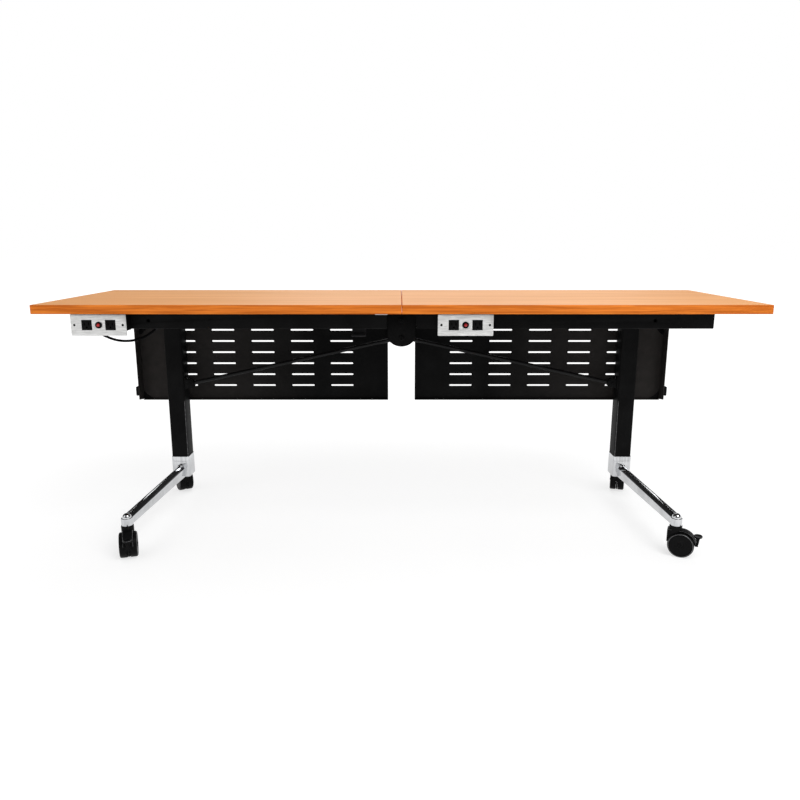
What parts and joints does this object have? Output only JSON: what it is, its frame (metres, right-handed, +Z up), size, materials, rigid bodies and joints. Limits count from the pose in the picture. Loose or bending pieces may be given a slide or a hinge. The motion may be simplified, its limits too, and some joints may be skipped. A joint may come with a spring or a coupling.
{
  "type": "flip top training table",
  "caption": "Training table of paired half tops on one caster frame; each half tips up about a pivot at the column heads, with power modules and slotted modesty panels.",
  "frame": {"origin": "on the floor under the centre of the table", "axes": "+X along the table's length to the user's right, -Y towards the user, +Z up"},
  "size_m": [2.026, 0.6887, 0.74],
  "materials": {
    "wood_laminate": "satin laminate with grain",
    "black_paint": "fine textured powder coat",
    "chrome": "polished",
    "zinc_steel": "zinc plated",
    "dark_steel": "black oxide",
    "brushed_aluminium": "brushed",
    "black_plastic": "moulded",
    "caster_tread": "nylon tread",
    "red_plastic": "gloss",
    "cable": "matt jacket"
  },
  "bodies": {
    "frame": {"pivot_pin_left": "zinc_steel", "column_head_left": "black_paint", "column_left": "black_paint", "foot_left": "chrome", "rear_beam_left": "black_paint", "strut_left": "black_paint", "strut_bracket_left": "black_paint", "panel_left": "black_paint", "panel_spacer_left": "black_paint", "panel_bumper_left": "black_plastic", "pivot_pin_right": "zinc_steel", "column_head_right": "black_paint", "column_right": "black_paint", "foot_right": "chrome", "rear_beam_right": "black_paint", "strut_right": "black_paint", "strut_bracket_right": "black_paint", "panel_right": "black_paint", "panel_spacer_right": "black_paint", "panel_bumper_right": "black_plastic", "hub_front_plate": "black_paint", "hub_rear_plate": "black_paint", "hub_bolt_upper": "dark_steel", "hub_bolt_lower": "dark_steel"},
    "top_left": {"top_left": "wood_laminate", "rail_left": "black_paint", "flip_bracket_left": "black_paint", "power_housing_left": "black_plastic", "power_plate_left": "brushed_aluminium", "outlet_insert_left": "black_plastic", "breaker_collar_left": "black_plastic", "module_lead": "cable", "seam_plate": "zinc_steel"},
    "top_right": {"top_right": "wood_laminate", "rail_right": "black_paint", "flip_bracket_right": "black_paint", "power_housing_right": "black_plastic", "power_plate_right": "brushed_aluminium", "outlet_insert_right": "black_plastic", "breaker_collar_right": "black_plastic"},
    "lever_left": {"release_lever_left": "dark_steel"},
    "button_left": {"reset_button_left": "red_plastic"},
    "lever_right": {"release_lever_right": "dark_steel"},
    "button_right": {"reset_button_right": "red_plastic"},
    "caster_front_left": {"caster_front_left": "black_plastic"},
    "wheel_front_left_a": {"wheel_front_left_a": "caster_tread"},
    "wheel_front_left_b": {"wheel_front_left_b": "caster_tread"},
    "pedal_front_left": {"brake_pedal_front_left": "black_plastic"},
    "caster_front_right": {"caster_front_right": "black_plastic"},
    "wheel_front_right_a": {"wheel_front_right_a": "caster_tread"},
    "wheel_front_right_b": {"wheel_front_right_b": "caster_tread"},
    "pedal_front_right": {"brake_pedal_front_right": "black_plastic"},
    "caster_rear_left": {"caster_rear_left": "black_plastic"},
    "wheel_rear_left_a": {"wheel_rear_left_a": "caster_tread"},
    "wheel_rear_left_b": {"wheel_rear_left_b": "caster_tread"},
    "caster_rear_right": {"caster_rear_right": "black_plastic"},
    "wheel_rear_right_a": {"wheel_rear_right_a": "caster_tread"},
    "wheel_rear_right_b": {"wheel_rear_right_b": "caster_tread"}
  },
  "joints": [
    {"name": "flip_left", "type": "hinge", "parent": "frame", "child": "top_left", "pos_m": [0, 0.245, 0.69], "axis": [-1, 0, 0], "range_deg": [0, 90]},
    {"name": "flip_right", "type": "hinge", "parent": "frame", "child": "top_right", "pos_m": [0, 0.245, 0.69], "axis": [-1, 0, 0], "range_deg": [0, 90]},
    {"name": "release_left", "type": "hinge", "parent": "top_left", "child": "lever_left", "pos_m": [0, -0.178, 0.6717], "axis": [1, 0, 0], "range_deg": [0, 20], "stiffness_Nm_per_rad": 0.3, "springref_deg": -11.46},
    {"name": "reset_left", "type": "slide", "parent": "top_left", "child": "button_left", "axis": [0, 1, 0], "range_m": [0, 0.0025], "stiffness_N_per_m": 400, "springref_m": -0.001},
    {"name": "release_right", "type": "hinge", "parent": "top_right", "child": "lever_right", "pos_m": [0, -0.178, 0.6717], "axis": [1, 0, 0], "range_deg": [0, 20], "stiffness_Nm_per_rad": 0.3, "springref_deg": -11.46},
    {"name": "reset_right", "type": "slide", "parent": "top_right", "child": "button_right", "axis": [0, 1, 0], "range_m": [0, 0.0025], "stiffness_N_per_m": 400, "springref_m": -0.001},
    {"name": "swivel_front_left", "type": "hinge", "parent": "frame", "child": "caster_front_left", "pos_m": [-0.81, -0.27, 0.092], "axis": [0, 0, 1], "continuous": true},
    {"name": "roll_front_left_a", "type": "hinge", "parent": "caster_front_left", "child": "wheel_front_left_a", "pos_m": [-0.80444, -0.28712, 0.0375], "axis": [0.9511, 0.309, 0], "continuous": true},
    {"name": "roll_front_left_b", "type": "hinge", "parent": "caster_front_left", "child": "wheel_front_left_b", "pos_m": [-0.80444, -0.28712, 0.0375], "axis": [0.9511, 0.309, 0], "continuous": true},
    {"name": "brake_front_left", "type": "hinge", "parent": "caster_front_left", "child": "pedal_front_left", "pos_m": [-0.79053, -0.32992, 0.046], "axis": [0.9511, 0.309, 0], "range_deg": [0, 18]},
    {"name": "swivel_front_right", "type": "hinge", "parent": "frame", "child": "caster_front_right", "pos_m": [0.81, -0.27, 0.092], "axis": [0, 0, 1], "continuous": true},
    {"name": "roll_front_right_a", "type": "hinge", "parent": "caster_front_right", "child": "wheel_front_right_a", "pos_m": [0.82631, -0.27761, 0.0375], "axis": [0.4226, 0.9063, 0], "continuous": true},
    {"name": "roll_front_right_b", "type": "hinge", "parent": "caster_front_right", "child": "wheel_front_right_b", "pos_m": [0.82631, -0.27761, 0.0375], "axis": [0.4226, 0.9063, 0], "continuous": true},
    {"name": "brake_front_right", "type": "hinge", "parent": "caster_front_right", "child": "pedal_front_right", "pos_m": [0.8671, -0.29663, 0.046], "axis": [0.4226, 0.9063, 0], "range_deg": [0, 18]},
    {"name": "swivel_rear_left", "type": "hinge", "parent": "frame", "child": "caster_rear_left", "pos_m": [-0.803, 0.286, 0.092], "axis": [0, 0, 1], "continuous": true},
    {"name": "roll_rear_left_a", "type": "hinge", "parent": "caster_rear_left", "child": "wheel_rear_left_a", "pos_m": [-0.81227, 0.30143, 0.0375], "axis": [-0.8572, -0.515, 0], "continuous": true},
    {"name": "roll_rear_left_b", "type": "hinge", "parent": "caster_rear_left", "child": "wheel_rear_left_b", "pos_m": [-0.81227, 0.30143, 0.0375], "axis": [-0.8572, -0.515, 0], "continuous": true},
    {"name": "swivel_rear_right", "type": "hinge", "parent": "frame", "child": "caster_rear_right", "pos_m": [0.803, 0.286, 0.092], "axis": [0, 0, 1], "continuous": true},
    {"name": "roll_rear_right_a", "type": "hinge", "parent": "caster_rear_right", "child": "wheel_rear_right_a", "pos_m": [0.80826, 0.30321, 0.0375], "axis": [-0.9563, 0.2924, 0], "continuous": true},
    {"name": "roll_rear_right_b", "type": "hinge", "parent": "caster_rear_right", "child": "wheel_rear_right_b", "pos_m": [0.80826, 0.30321, 0.0375], "axis": [-0.9563, 0.2924, 0], "continuous": true}
  ]
}
